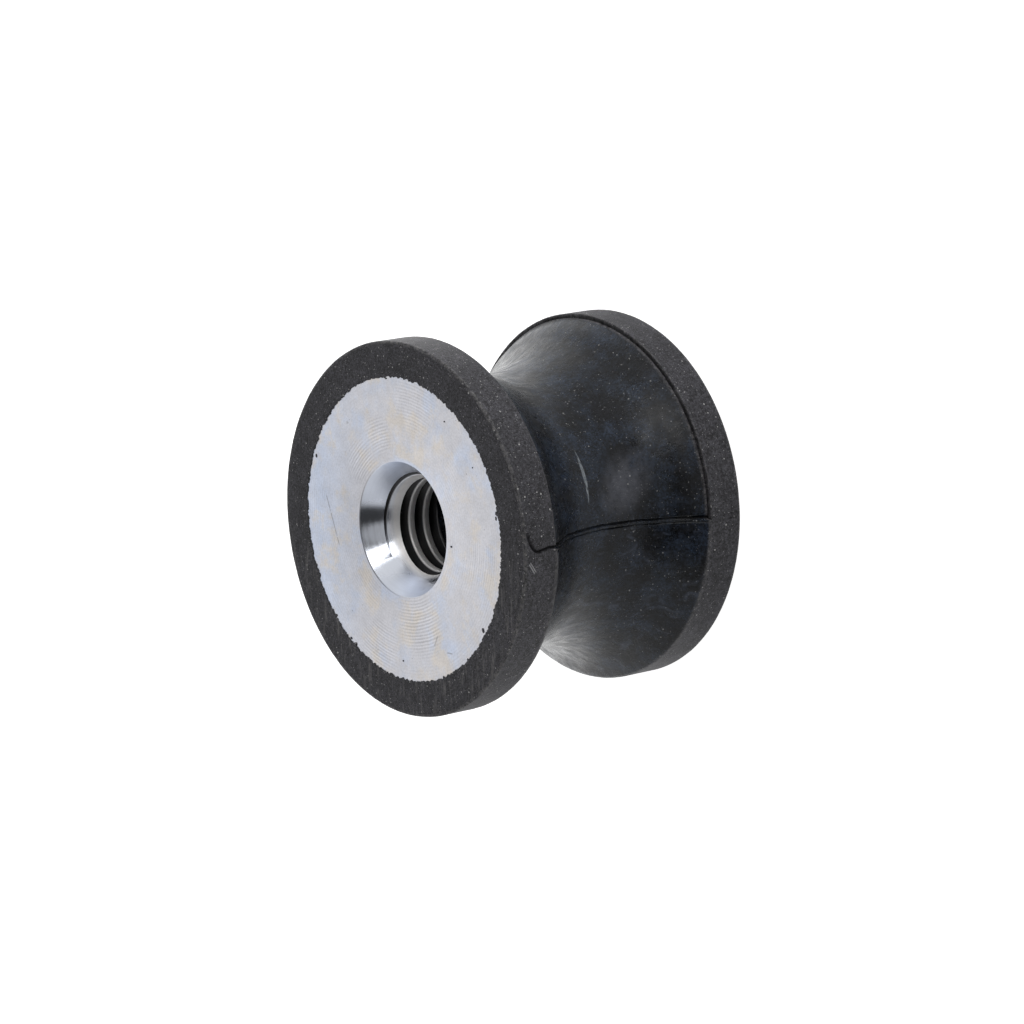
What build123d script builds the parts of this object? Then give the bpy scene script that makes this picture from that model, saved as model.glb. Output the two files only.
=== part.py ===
from build123d import *
import math
import os

# A bobbin vibration mount standing on its lower end face.
# Millimetres, +Z along the axis, origin at the centre of the lower face.
# The mould opened along X: its parting plane is the YZ plane.

# Rubber body
flange_d = 20.0          # outside diameter of both flanges
body_h = 15.0            # height from end face to end face
flange_t = 2.3           # thickness of a flange where the waist meets its rim
waist_d = 14.9           # narrowest diameter, at mid height
rim_break = 0.1          # broken edge of a rim at its end face
rim_blend = 0.4          # rounding of a rim into the waist
rim_step = 0.22          # drop from rim to waist, +X half of the mould
step_run = 0.66          # how far down the waist the step's relief runs out
seam_w = 0.24            # width of the seam left on the parting plane
seam_h = 0.06            # height of the seam over the rubber
seam_root = 1.0          # depth of the seam's root in the rubber

# Threaded steel inserts, two alike
disc_d = 16.3            # steel face seen in each end
disc_t = 1.6             # thickness of the disc
disc_break = 0.3         # broken inner edge of the disc
boss_d = 9.4             # boss behind the disc
boss_root = 0.5          # cone in the corner between disc and boss
insert_len = 4.5         # steel face to the inner end of the boss
boss_break = 0.3         # broken edge at the inner end
bore_d = 5.0             # bore at the crests of the M6 thread
csk_d = 7.26             # countersink in the steel face
csk_angle = 60.0         # full angle of the countersink
bond_gap = 0.0           # the rubber is bonded onto the steel

# Sizes that follow
flange_r = flange_d / 2
waist_r = waist_d / 2
disc_r = disc_d / 2
boss_r = boss_d / 2
bore_r = bore_d / 2
csk_r = csk_d / 2
csk_depth = (csk_r - bore_r) / math.tan(math.radians(csk_angle / 2))
mid_z = body_h / 2
seam_angle = math.degrees(2 * math.asin(seam_w / 2 / waist_r))

# The waist is one arc from rim to rim
half_gap = mid_z - flange_t
waist_in = flange_r - waist_r
waist_arc = (half_gap ** 2 + waist_in ** 2) / (2 * waist_in)
arc_r = waist_r + waist_arc


def near(points, x, z):
    """The corners of a section in the XZ plane that lie at (x, z)."""
    return [p for p in points if abs(p.X - x) < 1e-6 and abs(p.Z - z) < 1e-6]


def arc_height(radius, r):
    """Height over mid height at which the waist's circle has radius r."""
    return math.sqrt(radius ** 2 - (arc_r - r) ** 2)


def body_solid():
    """The solid rubber with its rims blended into the waist."""
    high = body_h - flange_t
    section = make_face([
        Polyline((0, 0, 0), (flange_r, 0, 0), (flange_r, 0, flange_t)),
        ThreePointArc((flange_r, 0, flange_t), (waist_r, 0, mid_z), (flange_r, 0, high)),
        Polyline((flange_r, 0, high), (flange_r, 0, body_h), (0, 0, body_h)),
        Line((0, 0, body_h), (0, 0, 0)),
    ])
    for z in (0, body_h):
        section = chamfer(near(section.vertices(), flange_r, z), rim_break)
    for z in (flange_t, high):
        section = fillet(near(section.vertices(), flange_r, z), rim_blend)
    return revolve(section, Axis.Z)


def step_relief():
    """Cut that leaves a step behind the lower rim, seam to seam on the +X half."""
    past = flange_r + 1.0
    level = flange_t - rim_blend / 2
    foot = flange_r - rim_step
    runout = flange_r - step_run
    top = mid_z - arc_height(waist_arc, runout)
    tuck = seam_angle / 4
    section = make_face(Polyline(
        (past, 0, level),
        (foot, 0, level),
        (runout, 0, top),
        (past, 0, top),
        close=True,
    ))
    return revolve(Rot(0, 0, tuck - 90) * section, Axis.Z, 180 - 2 * tuck)


def seam_strip(side):
    """Seam along one side of the body, short of both end faces."""
    rim = flange_r + seam_h
    root = waist_r - seam_root
    rise = arc_height(waist_arc - seam_h, rim)
    low = mid_z - rise
    high = mid_z + rise
    start = 1.5 * rim_break
    top = body_h - start
    section = make_face([
        Polyline((root, 0, start), (rim, 0, start), (rim, 0, low)),
        ThreePointArc((rim, 0, low), (waist_r + seam_h, 0, mid_z), (rim, 0, high)),
        Polyline((rim, 0, high), (rim, 0, top), (root, 0, top)),
        Line((root, 0, top), (root, 0, start)),
    ])
    return revolve(Rot(0, 0, side - seam_angle / 2) * section, Axis.Z, seam_angle)


def insert_outside(gap):
    """Outside of the lower insert with its bore filled, grown by gap."""
    disc = disc_r + gap
    boss = boss_r + gap
    inner = disc_t + gap
    end = insert_len + gap
    section = make_face(Polyline(
        (0, 0, 0),
        (disc, 0, 0),
        (disc, 0, inner),
        (boss, 0, inner),
        (boss, 0, end),
        (0, 0, end),
        close=True,
    ))
    section = chamfer(near(section.vertices(), boss, inner), boss_root)
    section = chamfer(near(section.vertices(), disc, inner), disc_break)
    section = chamfer(near(section.vertices(), boss, end), boss_break)
    return revolve(section, Axis.Z)


def insert_bore():
    """Countersink and thread bore of the lower insert."""
    past = 1.0
    section = make_face(Polyline(
        (0, 0, -past),
        (csk_r, 0, -past),
        (csk_r, 0, 0),
        (bore_r, 0, csk_depth),
        (bore_r, 0, insert_len + past),
        (0, 0, insert_len + past),
        close=True,
    ))
    return revolve(section, Axis.Z)


# Lower insert, face down, and the same piece turned over into the upper end
turn_over = Pos(0, 0, body_h) * Rot(180, 0, 0)
lower_insert = insert_outside(0) - insert_bore()
upper_insert = turn_over * lower_insert

# Rubber, with a step behind each rim on the +X half and a seam on both sides
rubber_body = body_solid() - step_relief() - turn_over * step_relief()
rubber_body = rubber_body + seam_strip(-90) + seam_strip(90)

# It fills everything round the inserts and closes their inner ends
pocket = insert_outside(bond_gap)
rubber_body = rubber_body - pocket - turn_over * pocket

os.makedirs("parts", exist_ok=True)
export_step(rubber_body, "parts/rubber_body.step")
export_step(upper_insert, "parts/upper_insert.step")
export_step(lower_insert, "parts/lower_insert.step")
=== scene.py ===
import math

import bmesh
import bpy
from mathutils import Matrix, Vector, noise


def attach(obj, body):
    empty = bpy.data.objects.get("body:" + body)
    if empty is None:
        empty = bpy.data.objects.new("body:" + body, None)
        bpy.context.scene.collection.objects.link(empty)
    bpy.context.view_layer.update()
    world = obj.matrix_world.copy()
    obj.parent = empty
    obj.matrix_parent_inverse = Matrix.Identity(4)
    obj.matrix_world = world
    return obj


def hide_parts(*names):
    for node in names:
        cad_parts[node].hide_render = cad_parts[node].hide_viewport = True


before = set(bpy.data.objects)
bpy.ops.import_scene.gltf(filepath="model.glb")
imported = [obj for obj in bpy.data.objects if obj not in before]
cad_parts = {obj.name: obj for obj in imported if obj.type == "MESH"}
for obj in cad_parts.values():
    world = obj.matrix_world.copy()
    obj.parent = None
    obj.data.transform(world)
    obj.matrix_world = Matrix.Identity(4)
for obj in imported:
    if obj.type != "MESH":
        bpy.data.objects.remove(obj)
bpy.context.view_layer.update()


# Threaded inserts.
# Each is one turned steel piece, a disc with a boss behind it, countersunk
# and tapped M6 right through, zinc plated, with the rubber bonded onto it.
mm = 0.001
body_height = 15.0
half_height = body_height / 2
face_sink = 0.03
disc_radius = 8.15
disc_depth = 1.6
disc_break = 0.3
boss_radius = 4.7
boss_root = 0.5
insert_depth = 4.5
boss_break = 0.3
sink_radius = 3.63
sink_edge = 0.05
pilot_radius = 2.3
sink_slope = math.tan(math.radians(30))
crest_radius = 2.5
root_radius = 3.0
pitch = 1.0
thread_turns = 8
steps_per_turn = 96
thread_start = math.radians(-205)


def section_mesh(points, closed):
    """A section standing in the XZ plane, as a bmesh, and its corners."""
    bm = bmesh.new()
    corners = [bm.verts.new((r, 0, z)) for r, z in points]
    nexts = corners[1:] + corners[:1] if closed else corners[1:]
    for first, second in zip(corners, nexts):
        bm.edges.new((first, second))
    return bm, corners


def insert_blank():
    """The turned piece before tapping, its face at z 0, as a closed mesh."""
    sink_end = -(sink_radius - pilot_radius) / sink_slope
    bm, corners = section_mesh([
        (pilot_radius, -insert_depth),
        (boss_radius - boss_break, -insert_depth),
        (boss_radius, boss_break - insert_depth),
        (boss_radius, -disc_depth - boss_root),
        (boss_radius + boss_root, -disc_depth),
        (disc_radius - disc_break, -disc_depth),
        (disc_radius, disc_break - disc_depth),
        (disc_radius, 0),
        (sink_radius, 0),
        (pilot_radius, sink_end),
    ], closed=True)
    bmesh.ops.bevel(bm, geom=[corners[8]], offset=sink_edge, offset_type="OFFSET",
                    segments=4, profile=0.5, affect="VERTICES", material=-1)
    bmesh.ops.spin(bm, geom=bm.verts[:] + bm.edges[:], cent=(0, 0, 0),
                   axis=(0, 0, 1), angle=math.tau, steps=2 * steps_per_turn,
                   use_merge=True)
    bmesh.ops.recalc_face_normals(bm, faces=bm.faces)
    return bm


def thread_tap():
    """A rod with the form of the thread, longer than the insert at both ends."""
    flank = (root_radius - crest_radius) * sink_slope
    root_half = pitch / 25
    bm, corners = section_mesh([
        (crest_radius, 0),
        (crest_radius, pitch / 2 - root_half - flank),
        (root_radius, pitch / 2 - root_half),
        (root_radius, pitch / 2 + root_half),
        (crest_radius, pitch / 2 + root_half + flank),
        (crest_radius, pitch),
    ], closed=False)
    bmesh.ops.bevel(bm, geom=[corners[1], corners[4]], offset=0.07,
                    offset_type="OFFSET", segments=4, profile=0.5,
                    affect="VERTICES", material=-1)
    bmesh.ops.bevel(bm, geom=[corners[2], corners[3]], offset=0.03,
                    offset_type="OFFSET", segments=2, profile=0.5,
                    affect="VERTICES", material=-1)
    bmesh.ops.spin(bm, geom=bm.verts[:] + bm.edges[:], cent=(0, 0, 0),
                   axis=(0, 0, 1), dvec=(0, 0, pitch / steps_per_turn),
                   angle=math.tau * thread_turns,
                   steps=steps_per_turn * thread_turns)
    bmesh.ops.remove_doubles(bm, verts=bm.verts, dist=0.0005)
    ends = [e for e in bm.edges if len(e.link_faces) == 1]
    middle = pitch * (thread_turns + 1) / 2
    for level, rim in (
        (-pitch, [e for e in ends if e.verts[0].co.z < middle]),
        (pitch * (thread_turns + 2), [e for e in ends if e.verts[0].co.z > middle]),
    ):
        made = bmesh.ops.extrude_edge_only(bm, edges=rim)["geom"]
        tip = [v for v in made if isinstance(v, bmesh.types.BMVert)]
        bmesh.ops.pointmerge(bm, verts=tip, merge_co=(0, 0, level))
    bmesh.ops.transform(
        bm, verts=bm.verts,
        matrix=Matrix.Translation((0, 0, -insert_depth - 2 * pitch))
        @ Matrix.Rotation(thread_start, 4, "Z"))
    bmesh.ops.recalc_face_normals(bm, faces=bm.faces)
    return bm


def as_object(bm, name):
    """A new object that holds the mesh."""
    mesh = bpy.data.meshes.new(name)
    bm.to_mesh(mesh)
    bm.free()
    made = bpy.data.objects.new(name, mesh)
    bpy.context.scene.collection.objects.link(made)
    return made


blank = as_object(insert_blank(), "insert_blank")
tap = as_object(thread_tap(), "thread_tap")
tapping = blank.modifiers.new("tapping", "BOOLEAN")
tapping.operation = "DIFFERENCE"
tapping.solver = "EXACT"
tapping.object = tap
tapped = bpy.data.meshes.new_from_object(
    blank.evaluated_get(bpy.context.evaluated_depsgraph_get()))
bpy.data.objects.remove(blank)
bpy.data.objects.remove(tap)

lift = Matrix.Translation((0, 0, body_height - face_sink))
drop = Matrix.Translation((0, 0, face_sink)) @ Matrix.Rotation(math.pi, 4, "X")
inserts = []
for node, place in (("upper_insert", lift), ("lower_insert", drop)):
    bm = bmesh.new()
    bm.from_mesh(tapped)
    bmesh.ops.remove_doubles(bm, verts=bm.verts, dist=0.0005)
    bmesh.ops.dissolve_degenerate(bm, edges=bm.edges, dist=0.0005)
    bmesh.ops.transform(bm, verts=bm.verts, matrix=Matrix.Scale(mm, 4) @ place)
    for face in bm.faces:
        face.smooth = True
    piece = as_object(bm, node + "_steel")
    piece.data.set_sharp_from_angle(angle=math.radians(28))
    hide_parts(node)
    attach(piece, "root")
    inserts.append(piece)
bpy.data.meshes.remove(tapped)


class Wire:
    """A shader socket. Arithmetic on it adds Math nodes to its tree."""

    def __init__(self, tree, socket=None):
        self.tree = tree
        self.socket = socket

    def node(self, kind, settings, inputs, output=0):
        """Adds a node, makes its settings, fills its inputs, gives one output."""
        made = self.tree.nodes.new(kind)
        for name, value in settings.items():
            setattr(made, name, value)
        for key, value in inputs.items():
            if isinstance(value, Wire):
                value.into(made.inputs[key])
            else:
                made.inputs[key].default_value = value
        return None if output is None else Wire(self.tree, made.outputs[output])

    def into(self, socket):
        """Links this socket to an input of a node."""
        self.tree.links.new(self.socket, socket)

    def beside(self, output):
        """Another output of the same node."""
        return Wire(self.tree, self.socket.node.outputs[output])

    def math(self, operation, first, second=0.0):
        return self.node("ShaderNodeMath", {"operation": operation}, {0: first, 1: second})

    def __add__(self, other):
        return self.math("ADD", self, other)

    def __radd__(self, other):
        return self.math("ADD", other, self)

    def __sub__(self, other):
        return self.math("SUBTRACT", self, other)

    def __rsub__(self, other):
        return self.math("SUBTRACT", other, self)

    def __mul__(self, other):
        return self.math("MULTIPLY", self, other)

    def __rmul__(self, other):
        return self.math("MULTIPLY", other, self)

    def __truediv__(self, other):
        return self.math("DIVIDE", self, other)

    def __rtruediv__(self, other):
        return self.math("DIVIDE", other, self)

    def __pow__(self, other):
        return self.math("POWER", self, other)

    def __abs__(self):
        return self.math("ABSOLUTE", self)

    def at_least(self, floor):
        return self.math("MAXIMUM", self, floor)

    def scaled(self, factor):
        """A colour or vector times a number."""
        return self.node("ShaderNodeVectorMath", {"operation": "SCALE"}, {0: self, 3: factor})

    def dot(self, direction):
        """How far a vector reaches in a direction."""
        return self.node("ShaderNodeVectorMath", {"operation": "DOT_PRODUCT"},
                         {0: self, 1: direction}, 1)

    def rise(self, low, high):
        """0 below low, 1 above high, with a smooth step between."""
        return self.node(
            "ShaderNodeMapRange", {"interpolation_type": "SMOOTHSTEP"},
            {0: self, 1: low, 2: high, 3: 0.0, 4: 1.0})

    def fall(self, low, high):
        """1 below low, 0 above high."""
        return 1 - self.rise(low, high)

    def mix(self, under, over):
        """A colour from under to over as this value goes from 0 to 1."""
        return self.node(
            "ShaderNodeMix", {"data_type": "RGBA"}, {0: self, 6: under, 7: over}, 2)


def new_finish(name):
    """A material, its tree's wire, object coordinates in millimetres, its surface."""
    material = bpy.data.materials.new(name)
    material.use_nodes = True
    tree = material.node_tree
    wire = Wire(tree)
    place = wire.node("ShaderNodeTexCoord", {}, {}, "Object")
    return material, wire, place.scaled(1000.0), tree.nodes["Principled BSDF"]


def round_axis(wire, point):
    """A point's x, y and z, its place on the XY plane, and its radius."""
    along = [wire.node("ShaderNodeSeparateXYZ", {}, {0: point}, axis) for axis in "XYZ"]
    flat = wire.node("ShaderNodeVectorMath", {"operation": "MULTIPLY"},
                     {0: point, 1: (1, 1, 0)})
    radius = wire.node("ShaderNodeVectorMath", {"operation": "LENGTH"}, {0: flat}, 1)
    return *along, flat, radius


def patches(wire, point, scale, detail=3.0, rough=0.5, shift=(0, 0, 0),
            turn=(0, 0, 0), stretch=(1, 1, 1), twist=0.0):
    """Soft noise around 0.5; scale is in features per millimetre."""
    moved = wire.node("ShaderNodeMapping", {}, {0: point, 1: shift, 2: turn, 3: stretch})
    return wire.node("ShaderNodeTexNoise", {"noise_dimensions": "3D"},
                     {"Vector": moved, "Scale": scale, "Detail": detail,
                      "Roughness": rough, "Distortion": twist})


def uneven_lines(wire, run, scale, rough):
    """Lines across a running length; scale is in lines per millimetre."""
    return wire.node("ShaderNodeTexNoise", {"noise_dimensions": "1D"},
                     {"W": run, "Scale": scale, "Detail": 3.0, "Roughness": rough})


def flecks(wire, point, scale, left_bare, biggest, shift):
    """1 on round specks of up to a radius, in the cells that aren't left bare."""
    moved = wire.node("ShaderNodeMapping", {}, {0: point, 1: (shift, shift, shift)})
    cells = wire.node("ShaderNodeTexVoronoi", {"feature": "F1"},
                      {"Vector": moved, "Scale": scale})
    pick = wire.node("ShaderNodeSeparateColor", {}, {0: cells.beside("Color")})
    reach = (pick - left_bare) * (biggest * scale / (1 - left_bare))
    return reach.math("GREATER_THAN", reach, cells)


steel, wire, point, surface = new_finish("zinc_plated_steel")
along_x, along_y, along_z, flat, radius = round_axis(wire, point)

# Turning marks, clear in some zones of the face and polished off in others
turned_zones = (patches(wire, point, 0.35, 2.0, shift=(7, 2, 4)) - 0.42) * 1.4
for x, y, reach, amount in ((-4.9, -1.3, 2.3, 1.0), (-6.5, 2.2, 2.0, 0.8),
                            (6.8, -1.3, 2.2, 0.6), (4.8, 1.8, 1.4, 0.8),
                            (3.3, 3.3, 1.5, 0.9), (-1.0, -6.5, 1.8, 0.5)):
    away = wire.node("ShaderNodeVectorMath", {"operation": "DISTANCE"},
                     {0: flat, 1: (x, y, 0)}, 1)
    turned_zones = turned_zones.at_least(away.fall(0.35 * reach, reach) * amount)
turned_zones = turned_zones.at_least(0.06)
wander = patches(wire, point, 0.8, 2.0, shift=(3, 1, 0)) * 0.12
feed = 0.17
turning = (radius + wander) * (math.tau / feed)
turning = turning.math("SINE", turning) * 0.5 + 0.5
ring_lines = uneven_lines(wire, radius + wander, 5.5, 0.65) * 0.45 + turning * 0.55
line_depth = turned_zones * (0.5 + patches(wire, point, 1.6, 2.0))

# Blue and straw tints of the plating, clouds and fine speckle
blue = patches(wire, point, 0.4, 4.0, 0.6, (1, 5, 2)).rise(0.46, 0.70)
blue = (blue * 0.8).at_least(along_y.rise(2.5, 7.5) * 0.8)
blue = blue * (0.35 + 1.1 * patches(wire, point, 1.5, 4.0, 0.6, (8, 8, 1)))
straw = patches(wire, point, 0.6, 5.0, 0.65, (9, 3, 6)).rise(0.48, 0.66)
straw = straw * radius.rise(sink_radius + 0.07, sink_radius + 0.27)
tint = blue.mix((0.725, 0.725, 0.770, 1), (0.650, 0.730, 0.900, 1))
tint = (straw * 0.8).mix(tint, (0.780, 0.725, 0.665, 1))
streaks = (ring_lines - 0.5) * line_depth * 0.52
speckle = (patches(wire, point, 9.0, 2.0) - 0.5) * 0.30
speckle = speckle + (patches(wire, point, 22.0, 2.0, 0.7, (3, 4, 8)) - 0.5) * 0.30
clouds = (patches(wire, point, 0.9, 4.0, 0.65, (6, 6, 6)) - 0.5) * 0.30
shade = 0.99 + streaks + speckle + clouds
tint = tint.scaled(shade)

# The countersink is cleaner than the face, with a painted reflection that makes it
# paler and bluer towards +x; painted light makes the thread's crests pale, and
# painted shade makes its roots and its inner end near black
depth_in = half_height - abs(along_z - half_height)
in_thread = radius.fall(root_radius + 0.02, root_radius + 0.04)
tapped_wall = in_thread * depth_in.rise(1.25, 1.75)
past_cone = (radius + depth_in * sink_slope).rise(sink_radius + 0.02, sink_radius + 0.07)
in_root = radius.rise(crest_radius + 0.04, crest_radius + 0.12) * in_thread * past_cone
on_crest = tapped_wall * (1 - in_root)
inside = radius.fall(sink_radius - 0.05, sink_radius + 0.03)
in_sink = inside * (1 - in_root)
tool_lines = uneven_lines(wire, along_z + wander, 9.0, 0.7)
tint = tint.scaled(1 + (tool_lines - 0.5) * inside * 0.9)
# Painted reflection: the countersink's plating tint grows paler and bluer towards +x.
cone_tint_and_painted_reflection = along_x.rise(-0.6, 1.2).mix((0.70, 0.735, 0.81, 1), (0.77, 0.82, 0.93, 1))
tint = (in_sink * 0.9).mix(tint, cone_tint_and_painted_reflection)
# Painted light: the crests made pale, in tool-line stripes.
tint = (on_crest * (0.45 + 0.6 * tool_lines)).mix(tint, (1.0, 0.965, 0.92, 1))
# Painted shade: the thread's roots and the crests at its inner end made near black.
painted_deep_shade = in_root.at_least(on_crest * depth_in.rise(3.85, 4.2)) * 0.95
tint = painted_deep_shade.mix(tint, (0.016, 0.015, 0.014, 1))

# Pits all over both faces, and the scratches of the upper one
pits = flecks(wire, point, 2.2, 0.66, 0.0464, 40)
pits = pits * radius.rise(sink_radius + 0.07, sink_radius + 0.12)
tint = (pits * 0.45).mix(tint, (0.20, 0.20, 0.21, 1))
on_top = along_z.rise(body_height - 0.5, body_height - 0.2)
for start, end, width, amount in (((1.05, 6.45), (-1.55, 5.46), 0.045, 0.55),
                                  ((-5.3, -2.7), (-5.9, -2.4), 0.06, 0.4),
                                  ((-6.1, -3.4), (-6.1, -3.9), 0.05, 0.5),
                                  ((5.32, 4.30), (5.18, 4.52), 0.12, 0.35)):
    start, end = Vector((*start, 0)), Vector((*end, 0))
    run = (end - start).normalized()
    here = wire.node("ShaderNodeVectorMath", {"operation": "SUBTRACT"},
                     {0: flat, 1: start})
    along = here.dot(run)
    across = abs(here.dot((-run.y, run.x, 0)))
    length = (end - start).length
    mark = along.rise(-0.05, 0.1) * along.fall(length - 0.1, length + 0.05)
    mark = mark * across.fall(width * 0.4, width) * on_top
    mark = mark * patches(wire, point, 5.0, 2.0).rise(0.3, 0.5)
    tint = (mark * amount).mix(tint, (0.16, 0.15, 0.15, 1))
tint.into(surface.inputs["Base Color"])

# Gloss and relief, with a polished stretch in the countersink
matt = 0.34 + (patches(wire, point, 1.3, 3.0) - 0.5) * 0.16
polished = in_sink * along_x.fall(0.3, 1.6) * along_x.rise(-3.2, -2.2)
matt = matt - polished * (1 - tapped_wall) * 0.17 + on_crest * 0.1
matt.into(surface.inputs["Roughness"])
ring_depth = line_depth.at_least(in_sink * 0.25)
relief = ring_lines * ring_depth * 1.4 + patches(wire, point, 14.0, 2.0) * 0.3
bumps = wire.node("ShaderNodeBump", {}, {"Strength": 0.35, "Distance": 0.00001,
                                         "Height": relief})
bumps.into(surface.inputs["Normal"])
bare = 1 - on_crest * (0.72 - 0.5 * tool_lines)
bare.into(surface.inputs["Metallic"])
for piece in inserts:
    piece.data.materials.clear()
    piece.data.materials.append(steel)


# Rubber body.
# One moulding of black rubber round both inserts: two flanges and a waist.
# The two mould halves left a seam, and only one of them a step behind the rims.
flange_radius = 10.0
waist_radius = 7.45
flange_thick = 2.3
rim_break = 0.1
rim_blend = 0.4
rim_step = 0.22
step_run = 0.66
waist_rise = half_height - flange_thick
waist_in = flange_radius - waist_radius
waist_arc = (waist_rise ** 2 + waist_in ** 2) / (2 * waist_in)
lip_radius = disc_radius
film = 0.025
arc_rows = 22
notch_floor = 12.8


def waist_point(height):
    """Radius of the waist at a height over the middle."""
    return waist_radius + waist_arc - math.sqrt(waist_arc ** 2 - height ** 2)


def half_rows(rim_shares):
    """Rows from the waist to the core: zone, radius and height, and both when stepped."""
    lean = math.asin(waist_rise / waist_arc)
    blend_centre = waist_rise + rim_blend * math.tan(lean / 2)
    blend_start = blend_centre - rim_blend * math.sin(lean)
    step_level = half_height - flange_thick + rim_blend / 2
    foot = flange_radius - rim_step
    run_radius = flange_radius - step_run
    run_level = math.sqrt(waist_arc ** 2 - (waist_radius + waist_arc - run_radius) ** 2)
    plain = [blend_start * i / arc_rows for i in range(arc_rows)]
    last = max(i for i, h in enumerate(plain) if h < run_level - 0.05)
    rows = [("waist", waist_point(h), h, waist_point(h), h) for h in plain[:last]]
    for i, h in enumerate(plain[last:]):
        share = 0.94 * i / (arc_rows - 1 - last)
        rows.append(("waist", waist_point(h), h, run_radius + (foot - run_radius) * share,
                     run_level + (step_level - run_level) * share))
    shelf = ((-0.05, -0.03), (-0.06, 0.02), (0.06, 0.012), (rim_step - 0.03, 0.0),
             (rim_step, 0.03))
    for i, (out, rise) in enumerate(shelf):
        t = lean * (1 - i / 4)
        rows.append(("step" if i < 3 else "shelf",
                     flange_radius - rim_blend * (1 - math.cos(t)),
                     blend_centre - rim_blend * math.sin(t),
                     foot + out, step_level + rise))
    rim_start = step_level + 0.05
    top = half_height - rim_break
    face_start = flange_radius - rim_break
    plain = [("rim", flange_radius, rim_start + (top - rim_start) * share)
             for share in rim_shares]
    plain += [("edge", flange_radius - out * rim_break, top + rise * rim_break)
              for out, rise in ((0.12, 0.45), (0.35, 0.75), (0.65, 0.93))]
    plain += [("face", face_start + (lip_radius + 0.06 - face_start) * i / 3, half_height)
              for i in range(4)]
    plain += [
        ("lip top", lip_radius, half_height),
        ("lip", lip_radius - 0.05, half_height - 0.3 * film),
        ("lip", lip_radius - 0.05, half_height - film),
        ("pocket", disc_radius, half_height - film - 0.005),
        ("pocket", disc_radius, half_height - disc_depth + disc_break),
        ("pocket", disc_radius - disc_break, half_height - disc_depth),
        ("pocket", boss_radius + boss_root, half_height - disc_depth),
        ("pocket", boss_radius, half_height - disc_depth - boss_root),
        ("pocket", boss_radius, half_height - insert_depth + boss_break),
        ("pocket", boss_radius - boss_break, half_height - insert_depth),
        ("pocket", 0.0, half_height - insert_depth),
    ]
    rows.extend((zone, r, h, r, h) for zone, r, h in plain)
    return rows


# The upper rim has close rows near its face, where the parting line cuts into it
even_shares = [i / 4 for i in range(5)]
close_shares = [i / 10 for i in range(6)] + [0.5 + i / 26 for i in range(1, 14)]
upper_rows = half_rows(close_shares)
lower_rows = [(zone, r, -h, step_r, -step_h)
              for zone, r, h, step_r, step_h in half_rows(even_shares)]
all_rows = lower_rows[:0:-1] + upper_rows

bm = bmesh.new()
row_of = bm.verts.layers.int.new("row")
painted_crease_shade = bm.verts.layers.float.new("painted_crease_shade")
for number, (_, r, h, _, _) in enumerate(all_rows):
    corner = bm.verts.new((r, 0, h + half_height))
    corner[row_of] = number
outline = bm.verts[:]
for first, second in zip(outline, outline[1:]):
    bm.edges.new((first, second))


def turned(geom, degrees, copy=True):
    """Turns some geometry about the axis, or a copy of it."""
    if copy:
        geom = bmesh.ops.duplicate(bm, geom=geom)["geom"]
    corners = [g for g in geom if isinstance(g, bmesh.types.BMVert)]
    bmesh.ops.rotate(bm, verts=corners, cent=(0, 0, 0),
                     matrix=Matrix.Rotation(math.radians(degrees), 3, "Z"))
    return geom


def swept(geom, degrees, steps):
    """Spins a row of edges about the axis."""
    bmesh.ops.spin(bm, geom=geom, cent=(0, 0, 0), axis=(0, 0, 1),
                   angle=math.radians(degrees), steps=steps)


# Fine columns at both seams, and nine like wedges along each side
outline = turned(bm.verts[:] + bm.edges[:], -97, copy=False)
back_seam = turned(outline, 185)
wedge_start = turned(outline, 14)
swept(outline, 14, 140)
swept(back_seam, 4, 40)
before = set(bm.verts[:] + bm.edges[:] + bm.faces[:])
swept(wedge_start, 19, 38)
wedge = [g for g in bm.verts[:] + bm.edges[:] + bm.faces[:] if g not in before]
wedge += wedge_start
for side in (0, 175):
    for i in range(9):
        if side + i:
            turned(wedge, side + 19 * i)
bmesh.ops.remove_doubles(bm, verts=bm.verts, dist=0.0005)


def ripple(x, y, z, scale, shift):
    """Smooth noise from -1 to 1; scale is in features per millimetre."""
    return noise.noise(Vector((x * scale + shift, y * scale - shift, z * scale)))


def seam_shape(z, across, side):
    """How far the seam stands out, and how much shade is painted in its gutters, at a
    distance across it.
    """
    centre = 0.05 * ripple(z, side, 0, 0.7, 4.1) + 0.022 * ripple(z, side, 0, 3.0, 9.7)
    off = across - centre
    away = abs(off)
    bead = max(0.0, ripple(z, side, 0, 2.7, 2.3))
    ridge = (0.006 + 0.085 * bead) * math.exp(-(away / 0.055) ** 2)
    near_rim = math.exp(-((abs(z - half_height) - 5.0) / 0.55) ** 2)
    if off > 0:
        width = 0.060 + 0.040 * near_rim
        strength = 0.75 + 0.25 * near_rim
    else:
        width = 0.035 + 0.045 * near_rim * (z > half_height)
        strength = 0.5 + 0.3 * ripple(z, side, 0, 1.3, 6.6)
    gutter = math.exp(-((away - 0.115) / width) ** 2)
    return ridge - 0.12 * strength * gutter, strength * gutter


notch_path = [Vector(p) for p in (
    (1.05, 14.77), (0.74, 14.70), (0.55, 14.63), (0.37, 14.54), (0.20, 14.42),
    (0.05, 14.24), (0.02, 14.05), (0.06, 13.88), (0.15, 13.36), (0.12, 12.85))]


def notch_cut(across, z):
    """How far the parting line cuts into the upper rim by the front seam, 0 to 1."""
    here = Vector((across, z))
    nearest = 9.0
    for first, second in zip(notch_path, notch_path[1:]):
        run = second - first
        share = max(0.0, min(1.0, (here - first).dot(run) / run.length_squared))
        nearest = min(nearest, (here - first - run * share).length)
    width = 0.085 + 0.025 * ripple(across, z, 0, 2.5, 3.1)
    return (1.0 - 0.45 * max(0.0, across)) * math.exp(-(nearest / width) ** 4)


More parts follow.
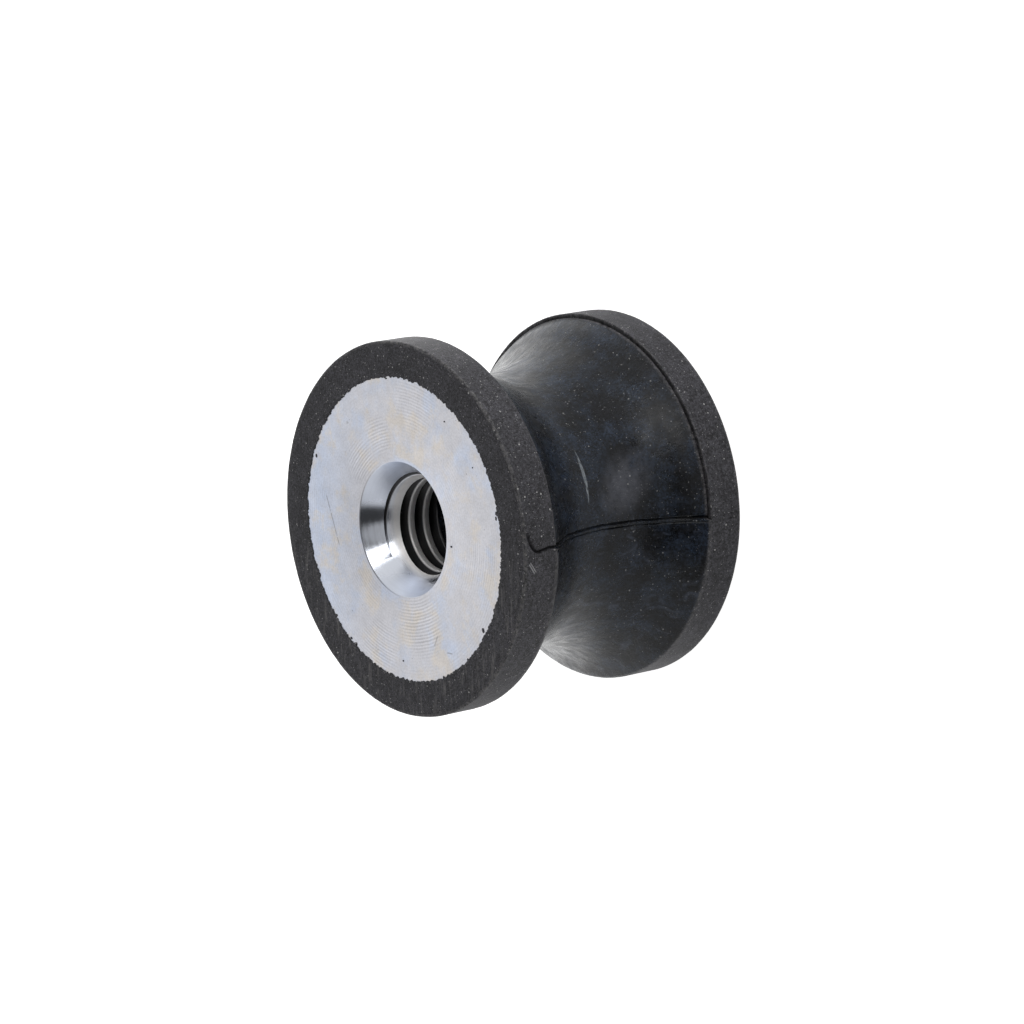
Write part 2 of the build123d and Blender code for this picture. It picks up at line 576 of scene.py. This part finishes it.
for v in bm.verts:
    zone, r, h, step_r, step_h = all_rows[v[row_of]]
    x, y, z = v.co
    spread = math.hypot(x, y)
    if spread < 0.01:
        continue
    cx, cy = x / spread, y / spread
    stepped = x > 0.0
    if stepped:
        r, h = step_r, step_h
    z = h + half_height
    x, y = cx * r, cy * r
    if zone in ("lip top", "lip"):
        bite = 0.25 * ripple(x, y, h, 0.9, 1.7) + 0.4 * ripple(x, y, h, 2.6, 6.1)
        bite += 0.5 * ripple(x, y, h, 6.0, 3.9) + 0.5 * ripple(x, y, h, 13.0, 5.3)
        r += (0.015 if zone == "lip top" else -0.015) - 0.15 * bite
    elif zone == "waist":
        r += 0.012 * ripple(x, y, z, 0.35, 5.0) + 0.006 * ripple(x, y, z, 1.6, 8.0)
    elif zone in ("step", "shelf", "rim", "edge"):
        r -= 0.012 * abs(ripple(x, y, z, 0.5, 2.0))
        r -= 0.010 * abs(ripple(x, y, z, 1.9, 7.0))
    if zone in ("edge", "face"):
        z -= math.copysign(0.010 * abs(ripple(x, y, z, 0.8, 3.0)), h)
    if zone in ("waist", "step", "shelf", "rim"):
        side = 1 if y > 0 else -1
        by_notch = side < 0 and z > notch_floor
        if abs(x) < 0.6 and not by_notch:
            height, dark = seam_shape(z, x, side)
            edge = 0.3 if zone in ("shelf", "rim") else 1.0
            r += height * edge
            # Painted shade in the seam's gutters.
            v[painted_crease_shade] = dark * edge
        # Painted shade along the step behind the rim on the stepped half.
        if stepped and zone == "step":
            soft = 0.50 + 0.35 * ripple(x, y, z, 0.7, 4.4) + 0.25 * ripple(x, y, z, 4.0, 1.2)
            v[painted_crease_shade] = max(v[painted_crease_shade], soft)
    # The notch by the front seam, cut into the rim, with painted shade in it.
    if y < 0 and z > notch_floor - 0.3 and -0.4 < x < 1.4 and zone not in ("face", "pocket"):
        cut = notch_cut(x, z)
        r -= 0.11 * cut
        v[painted_crease_shade] = max(v[painted_crease_shade], cut)
    v.co = (cx * r, cy * r, z)

bmesh.ops.recalc_face_normals(bm, faces=bm.faces)
bmesh.ops.scale(bm, verts=bm.verts, vec=(mm, mm, mm))
for face in bm.faces:
    face.smooth = True
rubber = as_object(bm, "rubber_moulding")
rubber.data.set_sharp_from_angle(angle=math.radians(50))
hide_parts("rubber_body")
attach(rubber, "root")

finish, wire, point, surface = new_finish("black_rubber")
along_x, along_y, along_z, _, radius = round_axis(wire, point)
from_middle = abs(along_z - half_height)
on_waist = from_middle.fall(waist_rise - 0.05, waist_rise + 0.15)
on_face = from_middle.rise(half_height - 0.10, half_height - 0.05)

# The rims and faces are matt and grey, the waist glossy and blue black
mottle = patches(wire, point, 0.5, 4.0, 0.6)
blotch = patches(wire, point, 2.2, 3.0, 0.6, (4, 1, 7))
grain = patches(wire, point, 7.0, 3.0, 0.7)
fine = patches(wire, point, 15.0, 2.0, 0.6, (2, 6, 3))
matt_skin = mottle.mix((0.019, 0.0185, 0.0215, 1), (0.048, 0.047, 0.054, 1))
gloss_skin = patches(wire, point, 0.6, 4.0, 0.65, (5, 5, 5)).rise(0.38, 0.66).mix(
    (0.004, 0.0045, 0.006, 1), (0.011, 0.016, 0.026, 1))
skin = on_waist.mix(matt_skin, gloss_skin)
coarse = 0.25 + 1.6 * patches(wire, point, 0.8, 4.0, 0.6, (1, 9, 5))
uneven = 1 + 1.6 * (blotch - 0.5) + (4.4 * (grain - 0.5) + 4.0 * (fine - 0.5)) * coarse
skin = skin.scaled(uneven.at_least(0.25))

# A pale patch painted on the waist as a highlight, smears on the waist, dust all over
around = along_x.math("ARCTAN2", along_x, -1 * along_y) * (180 / math.pi)
past_highlight = around - 16
painted_highlight = (past_highlight / 13) ** 2 + ((along_z - 5.9 + past_highlight * 0.05) / 1.5) ** 2
painted_highlight = painted_highlight.fall(0.0, 1.4) * patches(wire, point, 1.2, 4.0, 0.7, (7, 7, 0)).rise(0.2, 0.7)
skin = (painted_highlight * 0.9).mix(skin, (0.064, 0.067, 0.080, 1))
smears = patches(wire, point, 0.9, 6.0, 0.6, (0, 0, 3), stretch=(1, 1, 0.6), twist=1.6)
smears = smears.rise(0.55, 0.68) * on_waist * (0.15 + 0.6 * along_x.fall(-1.0, 1.0))
skin = smears.mix(skin, (0.034, 0.041, 0.058, 1))
dust = 0.0
for scale, biggest, bright, shift in ((2.4, 0.052, 0.8, 0), (4.3, 0.038, 0.75, 20),
                                      (8.0, 0.028, 0.50, 40)):
    specks = flecks(wire, point, scale, 0.42, biggest, shift)
    dust = (specks * bright).at_least(dust)
dust = dust * (1 - on_waist * 0.55)
skin = dust.mix(skin, (0.42, 0.415, 0.41, 1))

# Scuffs across the faces, and a painted highlight in broken dots along their outer edges and
# the waist's
rubbed = patches(wire, point, 1.6, 5.0, 0.75, turn=(0, 0, 0.7), stretch=(0.35, 2.2, 1))
scuffs = rubbed.rise(0.50, 0.68) * on_face * along_x.fall(-4.0, 3.0) * 0.7
skin = scuffs.mix(skin, (0.13, 0.125, 0.125, 1))
face_edge = radius.rise(flange_radius - 0.20, flange_radius - 0.10)
face_edge = face_edge * from_middle.rise(half_height - 0.20, half_height - 0.08)
waist_edge = radius.rise(flange_radius - 0.38, flange_radius - 0.28)
waist_edge = waist_edge * from_middle.rise(waist_rise, waist_rise + 0.10)
waist_edge = waist_edge * from_middle.fall(waist_rise + 0.20, waist_rise + 0.32)
dotted = patches(wire, point, 4.5, 4.0, 0.75, (6, 2, 2)).rise(0.38, 0.66)
edge_highlight = (face_edge + waist_edge * 0.6) * dotted
skin = (edge_highlight * 0.45).mix(skin, (0.20, 0.195, 0.19, 1))

# A pale crescent on the waist and a double tick on the upper rim
past_crescent = around - 22
bow = 8.27 + 0.0006 * past_crescent ** 2
thick = 0.125 * (1 - (past_crescent / 12.5) ** 2)
brushed = patches(wire, point, 3.0, 3.0, 0.6, stretch=(1, 1, 4)).rise(0.34, 0.58)
crescent = (thick - abs(along_z - bow)).rise(0.0, 0.04) * brushed
skin = (crescent * 0.85).mix(skin, (0.20, 0.22, 0.24, 1))
tick_x, tick_z = along_x + 0.51, along_z - 14.68
run_x, run_z = -0.808, -0.589
tick_along = tick_x * run_x + tick_z * run_z
tick_across = tick_x * run_z - tick_z * run_x
tick = tick_along.rise(-0.02, 0.02) * tick_along.fall(0.62, 0.70)
tick = tick * abs(abs(tick_across) - 0.055).fall(0.015, 0.05)
tick = tick * along_y.fall(0.3 - flange_radius, 0.5 - flange_radius)
skin = (tick * 0.8).mix(skin, (0.26, 0.26, 0.27, 1))
skin.into(surface.inputs["Base Color"])

# Gloss and relief, and painted shade: a near-black matt shader mixed in along the seam's
# grooves, the notch and the step
streak = patches(wire, point, 2.2, 4.0, 0.65, stretch=(1, 1, 0.35))
on_rim = radius.rise(flange_radius - 0.15, flange_radius - 0.05) * (1 - on_face)
dull = 0.66 + (grain - 0.5) * 0.3 - on_rim * 0.14
shiny = 0.29 + (streak - 0.5) * 0.6
rough = dull + on_waist * (shiny - dull)
rough.into(surface.inputs["Roughness"])
relief = (1 - on_waist * 0.7) * (grain + 0.5 * fine) + blotch * 0.6 + streak * on_waist * 0.3
bumps = wire.node("ShaderNodeBump", {}, {"Strength": 0.6, "Distance": 0.00004,
                                         "Height": relief})
bumps.into(surface.inputs["Normal"])
surface.inputs["Specular IOR Level"].default_value = 0.33
groove = wire.node("ShaderNodeAttribute", {"attribute_name": "painted_crease_shade"}, {}, "Fac")
painted_shade_bsdf = wire.node("ShaderNodeBsdfDiffuse", {}, {"Color": (0.004, 0.004, 0.004, 1)})
skin_shader = Wire(wire.tree, surface.outputs[0])
with_painted_shade = wire.node("ShaderNodeMixShader", {}, {0: groove * 0.9, 1: skin_shader, 2: painted_shade_bsdf})
with_painted_shade.into(wire.tree.nodes["Material Output"].inputs[0])
rubber.data.materials.append(finish)


# Rubber crumbs.
# Specks of trimmed rubber that stuck to the upper steel face, and torn beads
# of flash along the front seam and its foot, all of the same black rubber.
bm = bmesh.new()


def crumb(place, long, wide, thick):
    """One flattened crumb."""
    bmesh.ops.create_icosphere(bm, subdivisions=2, radius=1.0,
                               matrix=Matrix.Scale(mm, 4) @ place
                               @ Matrix.Diagonal((long, wide, thick, 1)))


for x, y, size in ((3.10, 7.22, 0.10), (6.17, -3.75, 0.07), (4.02, -5.93, 0.06),
                   (1.84, -7.84, 0.19), (1.60, -7.72, 0.11), (4.24, -6.95, 0.12),
                   (-0.38, -4.04, 0.09), (-4.46, -6.45, 0.15), (-4.25, -6.92, 0.10),
                   (-6.25, -5.18, 0.14), (-7.11, 0.25, 0.08), (-7.50, 3.12, 0.13),
                   (-6.82, 4.32, 0.18), (-6.52, 4.66, 0.10), (-5.48, 5.92, 0.13),
                   (-3.46, 7.28, 0.17), (-3.15, 7.45, 0.13), (5.56, 5.92, 0.14),
                   (7.95, 1.00, 0.08)):
    place = Matrix.Translation((x, y, body_height - face_sink + 0.004))
    crumb(place @ Matrix.Rotation(x * y, 4, "Z"), size, size * 0.65, 0.025)
for i in range(12):
    z = 2.45 + 0.37 * i + 0.30 * ripple(i, 0, 0, 0.8, 2.2)
    x = 0.02 + 0.08 * ripple(i, 0, 0, 0.6, 7.7)
    size = 0.045 + 0.07 * abs(ripple(i, 0, 0, 0.9, 5.5))
    place = Matrix.Translation((x, -waist_point(z - half_height) + 0.01, z))
    crumb(place, size, 0.045, size * 1.5)
for x, z, size in ((0.05, 0.78, 0.10), (-0.08, 0.66, 0.08), (0.17, 0.60, 0.06)):
    crumb(Matrix.Translation((x, -flange_radius + 0.01, z)), size, 0.03, size * 0.7)
for v in bm.verts:
    x, y, z = v.co / mm
    push = [ripple(x, y, z, 9.0, shift) for shift in (0.0, 11.3, 23.7)]
    v.co += Vector((push[0], push[1], 0.1 * push[2])) * 0.035 * mm
for face in bm.faces:
    face.smooth = True
crumbs = as_object(bm, "rubber_crumbs")
crumbs.data.materials.append(finish)
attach(crumbs, "root")


# Studio.
# A white table and a white surround that is dark round the camera, a large
# soft lamp over the camera, a long one on each side of the mount that doesn't
# show in the gloss, and the camera itself on a long lens.
camera_place = Vector((44.667, -181.898, 159.667)) * mm
camera_turn = (Matrix.Rotation(math.radians(13.831), 3, "Z")
               @ Matrix.Rotation(math.radians(90 - 39.100), 3, "X")
               @ Matrix.Rotation(math.radians(-100.289), 3, "Z"))
lens = bpy.data.cameras.new("camera")
lens.sensor_width = 36.0
lens.lens = 158.2
lens.clip_start = 0.01
camera = bpy.data.objects.new("camera", lens)
bpy.context.scene.collection.objects.link(camera)
camera.location = camera_place
camera.rotation_euler = camera_turn.to_euler()
bpy.context.scene.camera = camera
bpy.context.scene.view_settings.view_transform = "Standard"


def beside_camera(right, over):
    """Direction from the mount, in degrees right of the camera and over it."""
    turn = Matrix.Rotation(math.radians(right), 3, "Y")
    tilt = Matrix.Rotation(math.radians(-over), 3, "X")
    return camera_turn @ turn @ tilt @ Vector((0, 0, 1))


bm = bmesh.new()
bmesh.ops.create_circle(bm, cap_ends=True, segments=96, radius=1.2,
                        matrix=Matrix.Translation((0, 0, -0.00002)))
table = as_object(bm, "table")
paint = bpy.data.materials.new("white_table")
paint.use_nodes = True
tree = paint.node_tree
tree.nodes.clear()
wire = Wire(tree)
seen = wire.node("ShaderNodeLightPath", {}, {}, "Is Camera Ray")
in_gloss = wire.node("ShaderNodeLightPath", {}, {}, "Is Glossy Ray")
place = wire.node("ShaderNodeTexCoord", {}, {}, "Object")
# Painted reflection: the table's glow as reflections see it is bright behind the mount and
# dim in front of it.
behind = place.dot((-0.35, 1, 0)).rise(-0.012, 0.016)
behind = behind * wire.node("ShaderNodeSeparateXYZ", {}, {0: place}, "X").rise(-0.025, -0.012)
strength = 0.3 + seen * 0.55 + in_gloss * behind * 0.75
glow = wire.node("ShaderNodeEmission", {}, {"Color": (1, 1, 1, 1), "Strength": strength})
dim = (in_gloss * (1 - behind) * 0.35).mix((0.8, 0.8, 0.8, 1), (0, 0, 0, 1))
matt = wire.node("ShaderNodeBsdfDiffuse", {}, {"Color": dim})
both = wire.node("ShaderNodeAddShader", {}, {0: glow, 1: matt})
wire.node("ShaderNodeOutputMaterial", {}, {0: both}, None)
table.data.materials.append(paint)

world = bpy.data.worlds.new("studio")
bpy.context.scene.world = world
world.use_nodes = True
tree = world.node_tree
tree.nodes.clear()
wire = Wire(tree)
ray = wire.node("ShaderNodeTexCoord", {}, {}, "Generated")


def towards(direction):
    """Cosine of the angle between a ray and a direction."""
    return ray.dot(direction.normalized())


upward = towards(beside_camera(0, 90))
to_camera = towards(beside_camera(0, 0))
window = towards(beside_camera(26, 3)).rise(0.90, 0.965) * 0.44
surround = 0.15 + 0.80 * to_camera.fall(-0.42, 0.42)
ceiling = upward.rise(0.60, 0.80) * 0.82
bench = upward.fall(-0.74, -0.66) * 0.66
surround = surround * (1 - 0.75 * towards(beside_camera(12, -30)).rise(0.90, 0.95))
level = surround.at_least(window).at_least(ceiling).at_least(bench)
seen = wire.node("ShaderNodeLightPath", {}, {})
level = level + seen * (1 - level)
sky = wire.node("ShaderNodeBackground", {}, {"Color": (1, 1, 1, 1), "Strength": level})
wire.node("ShaderNodeOutputWorld", {}, {0: sky}, None)


def soft_lamp(name, direction, distance, width, height, level):
    """An area lamp that faces the mount, as bright as level times white."""
    lamp = bpy.data.lights.new(name, "AREA")
    lamp.shape = "RECTANGLE"
    lamp.size = width
    lamp.size_y = height
    lamp.energy = math.pi * width * height * level
    holder = bpy.data.objects.new(name, lamp)
    bpy.context.scene.collection.objects.link(holder)
    across = beside_camera(90, 0)
    across = (across - direction * across.dot(direction)).normalized()
    frame_of_lamp = Matrix((across, direction.cross(across), direction)).transposed()
    holder.matrix_world = frame_of_lamp.to_4x4()
    holder.location = direction * distance + Vector((0, 0, half_height * mm))
    return holder


soft_lamp("key_lamp", beside_camera(-4, 33), 0.60, 0.40, 0.26, 2.15)
over = soft_lamp("lamp_over", Vector((0.97, -0.10, 0.16)), 0.50, 0.50, 0.16, 9.0)
under = soft_lamp("lamp_under", Vector((-0.96, -0.15, 0.18)), 0.50, 0.50, 0.16, 3.6)
for lamp in (over, under):
    lamp.visible_glossy = False
